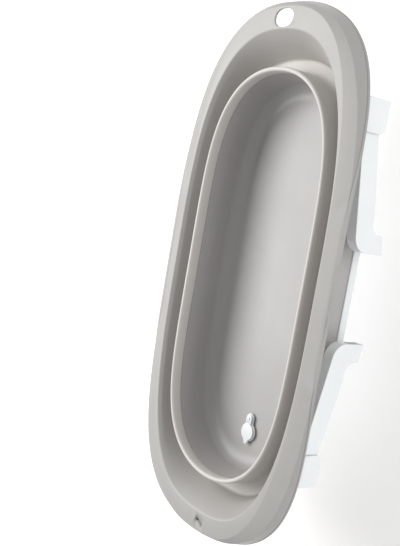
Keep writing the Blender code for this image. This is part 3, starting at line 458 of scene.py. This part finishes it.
def makeRim():
    bm = loopsFrom(rimProfile, [(6, 0.0022, 5), (7, 0.0011, 3), (8, 0.0016, 3), (13, 0.0005, 2)], True)
    piece = newPiece("rimShell", bm, greyPolypropylene, 33)
    top = tub["top"]
    # the hanging hole: an obround cutter that flares at the top, so the hole's edge is rounded
    flare = [(-0.014, 0.0), (-0.0014, 0.0), (-0.0008, 0.00015), (-0.0003, 0.0005), (0.0, 0.0011),
             (0.002, 0.0033)]

    def holeProfile(dx, dy, oblique):
        a, b = rim["holeHalf"]
        size = 1.0 / (abs(dx / a) ** 2.27 + abs(dy / b) ** 2.27) ** (1.0 / 2.27)
        return [(size + grow, top + z) for z, grow in flare]

    ways = [(math.cos(math.tau * i / 96), math.sin(math.tau * i / 96), 1.0) for i in range(96)]
    hole = loopsFrom(holeProfile, [], False, ways, rim["holeX"])
    # the hook slot: a narrow bar with a heel
    turn = Matrix.Translation((*rim["hook"], 0.0)) @ Matrix.Rotation(math.radians(rim["hookTurn"]), 4, "Z")
    bar = slab([(-0.009, -0.00225, 0.0008), (0.0092, -0.00225, 0.004), (0.0108, 0.0046, 0.0012),
                (0.0048, 0.0058, 0.0009), (0.0052, 0.00225, 0.0006), (-0.009, 0.00225, 0.0008)],
               top - rim["hookFloor"], top + 0.004, 0.0, place=turn)
    block = slab([(-0.0112, -0.0044, 0.001), (0.0130, -0.0044, 0.003), (0.0130, 0.0080, 0.001),
                  (-0.0112, 0.0080, 0.001)],
                 top - rim["hookFloor"] - 0.002, top - 0.5 * tub["skin"], 0.0, place=turn)
    cutOrJoin(piece, [newPiece("toolBlock", block, greyPolypropylene)], "UNION")
    # the catch notch in the lip
    x = rim["notchX"]
    slope = (halfWidthAt("lip", x + 0.004) - halfWidthAt("lip", x - 0.004)) / 0.008
    turn = Matrix.Translation((x, halfWidthAt("lip", x), 0.0)) @ Matrix.Rotation(math.atan(slope), 4, "Z")
    notch = slab([(-0.015, -0.0022, 0.0), (-0.009, -0.004, 0.001), (-0.003, -0.002, 0.0),
                  (0.015, -0.0012, 0.0),
                  (0.015, 0.008, 0.0), (-0.015, 0.008, 0.0)], top - 0.040, top - 0.010, 0.0, place=turn)
    tools = [newPiece("toolHole", hole, greyPolypropylene), newPiece("toolHook", bar, greyPolypropylene),
             newPiece("toolNotch", notch, greyPolypropylene)]
    cutOrJoin(piece, tools)
    return piece


rimShell = makeRim()
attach(rimShell, "rim")
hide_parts("rim_frame")
print("rim made")

# ---- fold band
band = {"skin": 0.0020, "rowsUp": 16}


def ridgeRadii(dx, dy, oblique):
    ridge = reachAlong("ridge", dx, dy)
    out = ridge + (tub["beadHalf"] - 0.0002) * oblique
    return ridge, out, out - band["skin"] * oblique, ridge - (tub["beadHalf"] + 0.0002) * oblique


def membraneProfile(dx, dy, oblique):
    foot = reachAlong("wallFoot", dx, dy)
    out, back = ridgeRadii(dx, dy, oblique)[1:3]
    room = foot - out
    low = -tub["valleyDepth"]
    high = -tub["ridgeDrop"] - 0.0105
    out -= 0.00025 * oblique
    section = [(foot, -rim["wallDepth"] - tub["gap"]), (foot - 0.012 * room, low + 0.0036)]
    section += [(foot - 0.05 * room, low + 0.0016), (foot - 0.12 * room, low + 0.0006),
                (foot - 0.25 * room, low + 0.0001)]
    section += [(out + 0.50 * room, low), (out + 0.30 * room, low + 0.0003),
                (out + 0.18 * room, low + 0.0009)]
    section += [(out + 0.09 * room, low + 0.0021), (out + 0.03 * room, low + 0.0042), (out, low + 0.0075)]
    rise = high - (low + 0.0075)
    for i in range(1, band["rowsUp"] + 1):
        section.append((out, low + 0.0075 + rise * i / band["rowsUp"]))
    for i in range(band["rowsUp"], -1, -1):
        section.append((back, low + 0.0075 + rise * i / band["rowsUp"]))
    section += [(back + 0.02 * room, low + 0.0026), (out + 0.10 * room, low - 0.0002)]
    section += [(out + 0.25 * room, low - 0.0017), (out + 0.50 * room, low - band["skin"])]
    section += [(foot - 0.10 * room, low - band["skin"] + 0.0002),
                (foot + 0.6 * tub["skin"] * oblique, low + 0.0004)]
    section += [(foot + tub["skin"] * oblique, -rim["wallDepth"] - tub["gap"])]
    return [(r, tub["top"] + z) for r, z in section]


def beadProfile(dx, dy, oblique):
    ridge, out, back, inn = ridgeRadii(dx, dy, oblique)
    high = -tub["ridgeDrop"] - 0.0003
    half = tub["beadHalf"] * oblique
    middle = ridge - 0.0002 * oblique
    section = [(out, high - 0.0122), (out, high - 0.0040)]
    for i in range(1, 12):
        angle = math.pi * i / 12
        section.append((middle + half * math.cos(angle), high - 0.0040 + 0.0040 * math.sin(angle) ** 0.9))
    section += [(inn, high - 0.0040), (inn - 0.0001, -tub["wrapDepth"]),
                (ridge - 0.0018 * oblique, -tub["wrapDepth"])]
    section += [(ridge - 0.0018 * oblique, high - 0.0050), (back, high - 0.0050), (back, high - 0.0122)]
    return [(r, tub["top"] + z) for r, z in section]


foldMembrane = newPiece("foldMembrane", loopsFrom(membraneProfile, [], True), elastomer, 50)
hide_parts("fold_band")
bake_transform(foldMembrane)
foldBead = newPiece("foldBead", loopsFrom(beadProfile, [(0, 0.0005, 2), (14, 0.0006, 2)], True),
                    elastomer, 50)
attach(foldBead, "pan")
print("fold band made")

# ---- pan and base
pan = {
    "draft": 0.0062,
    "filletIn": 0.026,           # floor fillet, measured along the floor
    "filletUp": 0.0215,
    "drainX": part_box("plug_flap")[1][0] - 0.01635,
    "drainHole": 0.0128,
}


def panProfile(dx, dy, oblique):
    ridge, _, back, inn = ridgeRadii(dx, dy, oblique)
    low = -tub["floorDepth"]
    lap = ridge - (0.0018 - tub["gap"]) * oblique
    top = -tub["ridgeDrop"] - 0.0050 - tub["gap"]
    back -= tub["gap"] * oblique
    foot = inn - pan["draft"] * oblique
    wall = tub["skin"] * oblique
    inward, up = pan["filletIn"] * oblique, pan["filletUp"]
    section = [(foot - inward - 0.004 * oblique, low)]
    for i in range(13):
        angle = 0.5 * math.pi * i / 12
        section.append((foot - inward * (1.0 - math.sin(angle)), low + up * (1.0 - math.cos(angle))))
    section += [(inn, -tub["wrapDepth"] - tub["gap"]), (lap, -tub["wrapDepth"] - tub["gap"]), (lap, top),
                (back, top)]
    section += [(back, -tub["wrapDepth"]), (foot + wall, -tub["ringTop"] + 0.004),
                (foot + wall, -tub["ringTop"])]
    section += [(ridge + 0.0018 * oblique, -tub["ringTop"]), (ridge + 0.0026 * oblique, -tub["ringBottom"])]
    section += [(ridge + 0.0002 * oblique, -tub["ringBottom"]),
                (ridge - 0.0006 * oblique, -tub["ringTop"] - 0.0030)]
    section += [(foot + wall, -tub["ringTop"] - 0.0026)]
    for i in range(12, -1, -1):
        angle = 0.5 * math.pi * i / 12
        section.append((foot + wall - inward * (1.0 - math.sin(angle)),
                        low - tub["skin"] + up * (1.0 - math.cos(angle))))
    section.append((foot + wall - inward - 0.004 * oblique, low - tub["skin"]))
    return [(r, tub["top"] + z) for r, z in section]


def makePan():
    bm = loopsFrom(panProfile, [(21, 0.0014, 4)], False)
    piece = newPiece("panShell", bm, panPolypropyleneShadeDarkened, 40)
    low = tub["top"] - tub["floorDepth"]
    bore = roundBar(pan["drainHole"], low - 0.010, low + 0.010, 0.0, 64, pan["drainX"])
    cutOrJoin(piece, [newPiece("toolDrain", bore, panPolypropyleneShadeDarkened)])
    flatShine(piece)
    return piece


def baseProfile(dx, dy, oblique):
    ridge = reachAlong("ridge", dx, dy)
    plate, ring, foot, gap = tub["plateTop"], tub["ringBottom"], tub["footDepth"], tub["gap"]
    section = [
        (ridge - 0.016 * oblique, -plate),
        (ridge + 0.0002 * oblique, -plate),
        (ridge + 0.0010 * oblique, -plate + 0.0016),
        (ridge + 0.0010 * oblique, -ring - gap),
        (ridge + 0.0050 * oblique, -ring - gap),
        (ridge + 0.0058 * oblique, -foot),
        (ridge + 0.0030 * oblique, -foot),
        (ridge + 0.0024 * oblique, -plate - 0.0025),
        (ridge - 0.016 * oblique, -plate - 0.0025),
    ]
    return [(r, tub["top"] + z) for r, z in section]


screwSpots = [((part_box(f"base_screw_{i}")[0][0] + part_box(f"base_screw_{i}")[1][0]) / 2,
               (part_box(f"base_screw_{i}")[0][1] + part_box(f"base_screw_{i}")[1][1]) / 2) for i in range(1, 7)]


def makeBase():
    bm = loopsFrom(baseProfile, [(4, 0.0011, 3), (5, 0.0009, 3), (7, 0.0012, 3)], False)
    piece = newPiece("baseShell", bm, whitePolypropylene, 40)
    z = tub["top"] - tub["plateTop"]
    tools = [newPiece("toolDrain", roundBar(0.0140, z - 0.008, z + 0.004, 0.0, 64, pan["drainX"]),
                      whitePolypropylene)]
    for i, (x, y) in enumerate(screwSpots):
        tools.append(newPiece(f"toolScrew{i}", roundBar(0.0021, z - 0.008, z + 0.004, 0.0, 24, x, y),
                              whitePolypropylene))
    cutOrJoin(piece, tools)
    return piece


panShell = makePan()
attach(panShell, "pan")
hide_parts("pan")
baseShell = makeBase()
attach(baseShell, "pan")
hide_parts("base_shell")
print("pan and base made")

# ---- drain, strap and plug
plug = {
    "radius": 0.014, "tabReach": 0.029, "tabHalf": 0.0065, "earReach": 0.020, "axis": 0.0150,
    "margin": 0.0016, "bore": 0.0095, "spigot": 0.0125, "edge": 0.0005,
}
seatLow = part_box("drain_seat")[0]
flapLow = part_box("plug_flap")[0]


def roundedTab(x0, x1, half, radius, low, high, edge):
    return slab([(x0, -half, 0.0), (x1, -half, radius), (x1, half, radius), (x0, half, 0.0)], low, high, edge)


def movedBy(bm, x):
    bmesh.ops.translate(bm, verts=bm.verts, vec=(x, 0.0, 0.0))
    return bm


def softenTop(piece, height, size, segments):
    # rounds the upper rim of a joined plate
    bm = bmesh.new()
    bm.from_mesh(piece.data)
    bmesh.ops.dissolve_limit(bm, angle_limit=math.radians(1), verts=bm.verts, edges=bm.edges)
    edges = [e for e in bm.edges if all(abs(v.co.z - height) < 1e-5 for v in e.verts)
             and e.calc_face_angle(0.0) > math.radians(50)]
    bmesh.ops.bevel(bm, geom=edges, offset=size, segments=segments, profile=0.5, affect="EDGES", material=-1)
    markSharp(bm, 38)
    bm.to_mesh(piece.data)
    bm.free()


def makeSeat():
    low = tub["top"] - tub["floorDepth"] + 0.0018
    high = low + 0.0026
    under = seatLow[2]
    x = pan["drainX"]
    seat = newPiece("drainSeat", roundBar(plug["radius"] + plug["margin"], low, high, 0.0, 96, x),
                    whitePolypropylene)
    half = plug["tabHalf"] + plug["margin"]
    tab = movedBy(roundedTab(0.0, plug["tabReach"] + plug["margin"], half, half * 0.98, low, high, 0.0), x)
    cutOrJoin(seat, [newPiece("toolTab", tab, whitePolypropylene)], "UNION")
    softenTop(seat, high, plug["edge"], 3)
    spigot = roundBar(plug["spigot"], under, low + 0.001, 0.0, 64, x)
    cutOrJoin(seat, [newPiece("toolSpigot", spigot, whitePolypropylene)], "UNION")
    bore = roundBar(plug["bore"], under - 0.01, high + 0.01, 0.0, 64, x)
    cutOrJoin(seat, [newPiece("toolBore", bore, whitePolypropylene)])
    return seat


def makeStrap():
    x = pan["drainX"]
    low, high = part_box("plug_strap")[0][2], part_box("plug_strap")[1][2]
    half = plug["tabHalf"]
    plate = movedBy(roundedTab(plug["axis"] + 0.0017, plug["tabReach"], half, half * 0.98,
                               low + 0.0002, high - 0.0002, plug["edge"]), x)
    strap = newPiece("plugStrap", plate, whitePolypropylene)
    knuckles = []
    for side in (1, -1):
        bar = roundBar(0.00135, 0.0034, half - 0.0004, 0.0002, 32)
        turn = (Matrix.Translation((x + plug["axis"], 0.0, 0.5 * (low + high)))
                @ Matrix.Rotation(-side * math.pi / 2, 4, "X"))
        bmesh.ops.transform(bar, matrix=turn, verts=bar.verts)
        knuckles.append(newPiece(f"toolKnuckle{side}", bar, whitePolypropylene))
    for side in (1, -1):
        arm = slab([(plug["axis"], side * 0.0034, 0.0), (plug["axis"] + 0.0022, side * 0.0034, 0.0),
                    (plug["axis"] + 0.0022, side * (half - 0.0004), 0.0),
                    (plug["axis"], side * (half - 0.0004), 0.0)],
                   low + 0.0003, high - 0.0003, 0.0)
        knuckles.append(newPiece(f"toolArm{side}", movedBy(arm, x), whitePolypropylene))
    cutOrJoin(strap, knuckles, "UNION")
    return strap


def makeFlap():
    x = pan["drainX"]
    low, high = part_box("plug_strap")[0][2] + 0.0002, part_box("plug_strap")[1][2] - 0.0002
    flap = newPiece("plugFlap", roundBar(plug["radius"], low, high, 0.0, 96, x), whitePolypropylene)
    edge = plug["axis"] - 0.0017
    half = plug["tabHalf"]
    waist = movedBy(slab([(0.0, -half, 0.0), (edge, -half, 0.0), (edge, half, 0.0), (0.0, half, 0.0)],
                         low, high, 0.0), x)
    ear = movedBy(slab([(0.0, -0.0085, 0.0), (-0.0125, -0.0062, 0.002), (-plug["earReach"], -0.0030, 0.0028),
                        (-plug["earReach"], 0.0030, 0.0028), (-0.0125, 0.0062, 0.002), (0.0, 0.0085, 0.0)],
                       low, high, 0.0), x)
    cutOrJoin(flap, [newPiece("toolWaist", waist, whitePolypropylene),
                     newPiece("toolEar", ear, whitePolypropylene)], "UNION")
    softenTop(flap, high, 0.0007, 4)
    tongue = movedBy(slab([(0.010, -0.0029, 0.0), (plug["axis"], -0.0029, 0.0), (plug["axis"], 0.0029, 0.0),
                           (0.010, 0.0029, 0.0)], low + 0.0001, high - 0.0001, 0.0), x)
    bar = roundBar(0.00135, -0.0029, 0.0029, 0.0002, 32)
    turn = (Matrix.Translation((x + plug["axis"], 0.0, 0.5 * (low + high)))
            @ Matrix.Rotation(math.pi / 2, 4, "X"))
    bmesh.ops.transform(bar, matrix=turn, verts=bar.verts)
    stem = roundBar(plug["bore"] - 0.0020, flapLow[2], low + 0.0008, 0.0006, 64, x)
    cutOrJoin(flap, [newPiece("toolTongue", tongue, whitePolypropylene),
                     newPiece("toolBar", bar, whitePolypropylene),
                     newPiece("toolStem", stem, whitePolypropylene)], "UNION")
    return flap


drainSeat = makeSeat()
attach(drainSeat, "pan")
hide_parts("drain_seat")
plugStrap = makeStrap()
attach(plugStrap, "pan")
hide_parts("plug_strap")
plugFlap = makeFlap()
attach(plugFlap, "plug")
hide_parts("plug_flap")
print("drain and plug made")

# ---- legs and hinge brackets
leg = {
    "reach": 0.186, "thick": 0.0185, "sideInset": 0.0215,
    "hingeDrop": 0.038, "hingeX": 0.25232, "shift": 0.00164,
    "hub": 0.015, "pin": 0.0043, "edge": 0.0012, "wall": 0.0024, "rib": 0.0016,
}
bracket = {"near": 0.021, "far": 0.027, "top": 0.012, "bottom": 0.064, "wall": 0.0028, "roof": 0.0065,
           "edge": 0.0009}
legHigh = tub["halfWidth"] - leg["sideInset"]
legDrop = tub["top"] - leg["hingeDrop"]


def hingeFrame(end, side):
    # (u towards the foot, v up, w across) into the tub's own axes
    x = end * leg["hingeX"] + leg["shift"]
    return Matrix(((-end, 0, 0, x), (0, 0, side, 0), (0, 1, 0, legDrop), (0, 0, 0, 1)))


def boxTool(name, u0, u1, v0, v1, w0, w1, place):
    bm = slab([(u0, v0, 0.0), (u1, v0, 0.0), (u1, v1, 0.0), (u0, v1, 0.0)], w0, w1, 0.0, place=place)
    return newPiece(name, bm, whitePolypropylene)


def makeLeg(end, side, tag):
    reach, low, high = leg["reach"], legHigh - leg["thick"], legHigh
    place = hingeFrame(end, side)
    hub = leg["hub"]
    corners = [
        (-hub, -hub, hub * 0.98), (0.010, -0.0166, 0.010), (0.028, -0.0192, 0.02), (0.083, -0.0322, 0.10),
        (0.132, -0.0414, 0.03), (reach - 0.0288, -0.0416, 0.0155),
        (reach - 0.0275, -legDrop + 0.0064, 0.0012), (reach, -legDrop, 0.0012),
        (reach, -0.0142, 0.0240), (0.030, 0.0118, 0.03), (0.002, hub, 0.006), (-hub, hub, hub * 0.98),
    ]
    piece = newPiece("leg." + tag, slab(corners, low, high, leg["edge"], 3, place), whitePolypropylene)
    tools = []
    cells, footWeb, cellsTop = 3, 0.0080, 0.0405   # the open ribbed foot
    bottom = -legDrop + footWeb
    cell = (legDrop - footWeb - cellsTop - (cells - 1) * leg["rib"]) / cells
    for i in range(cells):
        v0 = bottom + i * (cell + leg["rib"])
        tools.append(boxTool(f"toolCell{i}", reach - 0.022, reach + 0.004, v0, v0 + cell, low + leg["wall"],
                             high - leg["wall"], place))
    for i, (u0, u1) in enumerate(((0.024, 0.057), (0.0595, 0.0925), (0.095, 0.128))):
        quad = []
        for u, upper in ((u0, False), (u1, False), (u1, True), (u0, True)):
            t = (u - 0.028) / 0.104
            quad.append((u, 0.0078 - 0.0162 * t, 0.001) if upper else (u, -0.0160 - 0.0225 * t, 0.001))
        tools.append(newPiece(f"toolPocket{i}", slab(quad, low - 0.004, high - 0.0035, 0.0, place=place),
                              whitePolypropylene))
    bore = roundBar(leg["pin"], low - 0.01, high + 0.01, 0.0, 48)
    bmesh.ops.transform(bore, matrix=place, verts=bore.verts)
    bmesh.ops.recalc_face_normals(bore, faces=bore.faces)
    tools.append(newPiece("toolBore", bore, whitePolypropylene))
    cutOrJoin(piece, tools)
    flatShine(piece)
    return piece


def makeBracket(end, side, tag):
    place = hingeFrame(end, side)
    inner, outer = legHigh - leg["thick"] - tub["gap"], legHigh + tub["gap"]
    top, bottom = leg["hingeDrop"] - bracket["top"], leg["hingeDrop"] - bracket["bottom"]
    near, far, wall = bracket["near"], bracket["far"], bracket["wall"]
    corners = [(-far, bottom, 0.0015), (near, bottom, 0.0115), (near, top, 0.0), (-far, top, 0.0)]
    piece = newPiece("bracket." + tag, slab(corners, inner - wall, outer + wall, bracket["edge"], 3, place),
                     whitePolypropylene)
    tools = [boxTool("toolSlot", -far + 0.0035, near + 0.01, bottom - 0.01, top - bracket["roof"],
                     inner, outer, place)]
    across = Matrix(((0, 0, 1, place[0][3]), (side, 0, 0, 0), (0, 1, 0, legDrop), (0, 0, 0, 1)))
    edge = outer + wall
    tools.append(newPiece("toolCorner",
                          slab([(edge - 0.0095, top, 0.0), (edge, top - 0.0095, 0.0),
                                (edge + 0.004, top - 0.0095, 0.0), (edge + 0.004, top + 0.004, 0.0),
                                (edge - 0.0095, top + 0.004, 0.0)], -0.04, 0.04, 0.0, place=across),
                          whitePolypropylene))
    bore = roundBar(leg["pin"] - 0.0002, inner - 0.02, outer + 0.0018, 0.0, 48)
    bmesh.ops.transform(bore, matrix=place, verts=bore.verts)
    bmesh.ops.recalc_face_normals(bore, faces=bore.faces)
    tools.append(newPiece("toolBore", bore, whitePolypropylene))
    cutOrJoin(piece, tools)
    flatShine(piece)
    return piece


for end, endName in ((1, "head"), (-1, "drain")):
    for side, sideName in ((1, "left"), (-1, "right")):
        tag = f"{endName}_{sideName}"
        legPiece = makeLeg(end, side, tag)
        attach(legPiece, "leg_" + tag)
        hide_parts("leg_" + tag)
        bracketPiece = makeBracket(end, side, tag)
        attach(bracketPiece, "rim")
        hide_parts("bracket_" + tag)
print("legs and brackets made")

# ---- nodes kept from the frame
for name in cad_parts:
    kept = bpy.data.objects.get(name)
    if kept is None or kept.hide_render:
        continue
    if "screw" in name or "pin" in name:
        finish = zincSteel
    elif name in ("drain_gasket", "plug_seal"):
        finish = rubber
    else:
        finish = whitePolypropylene
    for spot in kept.material_slots:
        spot.material = finish
print("kept nodes finished")

# ---- floor, light and camera
stage = {
    "size": 9.0,
    "glow": 0.30,
    "level": legDrop - leg["reach"] - 0.0005,   # where the feet stand once the legs are folded out
}


def makeFloor():
    bm = bmesh.new()
    bmesh.ops.create_grid(bm, x_segments=1, y_segments=1, size=stage["size"])
    bmesh.ops.translate(bm, verts=bm.verts, vec=(0.0, 0.0, stage["level"]))
    # a dead flat off-white with a faint roller stipple
    material, tree, shader, place = newMaterial("matt painted board")
    stipple = addNode(tree, "ShaderNodeTexNoise", {"Scale": perMetre(2.5), "Detail": 3.0}, {"Vector": place})
    tint = addNode(tree, "ShaderNodeMix",
                   {"data_type": "RGBA", 6: hexColour("f1f0ee"), 7: hexColour("f6f5f4")},
                   {0: stipple.outputs[0]})
    relief = addNode(tree, "ShaderNodeBump", {"Strength": 0.05, "Distance": 0.0003},
                     {"Height": stipple.outputs[0]})
    shader.inputs["Roughness"].default_value = 0.85
    shader.inputs["Emission Color"].default_value = (1.0, 1.0, 1.0, 1.0)
    shader.inputs["Emission Strength"].default_value = stage["glow"]
    tree.links.new(tint.outputs[2], shader.inputs["Base Color"])
    tree.links.new(relief.outputs[0], shader.inputs["Normal"])
    return newPiece("floor", bm, material)


def areaLight(name, place, target, size, watts, colour):
    light = bpy.data.lights.new(name, "AREA")
    light.shape = "RECTANGLE"
    light.size, light.size_y = size
    light.energy = watts
    light.color = colour
    lamp = bpy.data.objects.new(name, light)
    lamp.location = place
    lamp.rotation_euler = (Vector(target) - Vector(place)).to_track_quat("-Z", "Y").to_euler()
    bpy.context.scene.collection.objects.link(lamp)


makeFloor()
areaLight("keyLight", (0.30, 1.25, 1.55), (0.0, 0.0, 0.0), (2.0, 1.2), 44.0, (1.0, 0.995, 0.985))
areaLight("sideLight", (0.1, -1.7, 0.20), (0.0, 0.0, 0.08), (2.4, 0.34), 11.5, (0.97, 0.985, 1.0))
world = bpy.data.worlds.new("studio")
world.use_nodes = True
world.node_tree.nodes["Background"].inputs["Color"].default_value = (1.0, 1.0, 1.0, 1.0)
world.node_tree.nodes["Background"].inputs["Strength"].default_value = 0.50
bpy.context.scene.world = world
bpy.context.scene.view_settings.view_transform = "Standard"

viewpoint = {
    "place": (0.1235, -1.0442, 0.9822),
    "along": (-0.1208, 0.7869, -0.6052),
    "right": (0.1685, -0.5845, -0.7937),
    "lensMm": 58.5,
    "shift": (0.0023, 0.0393),
}
cameraData = bpy.data.cameras.new("camera")
cameraData.lens = viewpoint["lensMm"]
cameraData.shift_x, cameraData.shift_y = viewpoint["shift"]
cameraData.clip_end = 60.0
camera = bpy.data.objects.new("camera", cameraData)
forward = Vector(viewpoint["along"]).normalized()
sideways = Vector(viewpoint["right"]).normalized()
upward = sideways.cross(forward).normalized()
camera.rotation_euler = Matrix((sideways, upward, -forward)).transposed().to_euler()
camera.location = viewpoint["place"]
bpy.context.scene.collection.objects.link(camera)
bpy.context.scene.camera = camera
print("floor, light and camera placed")
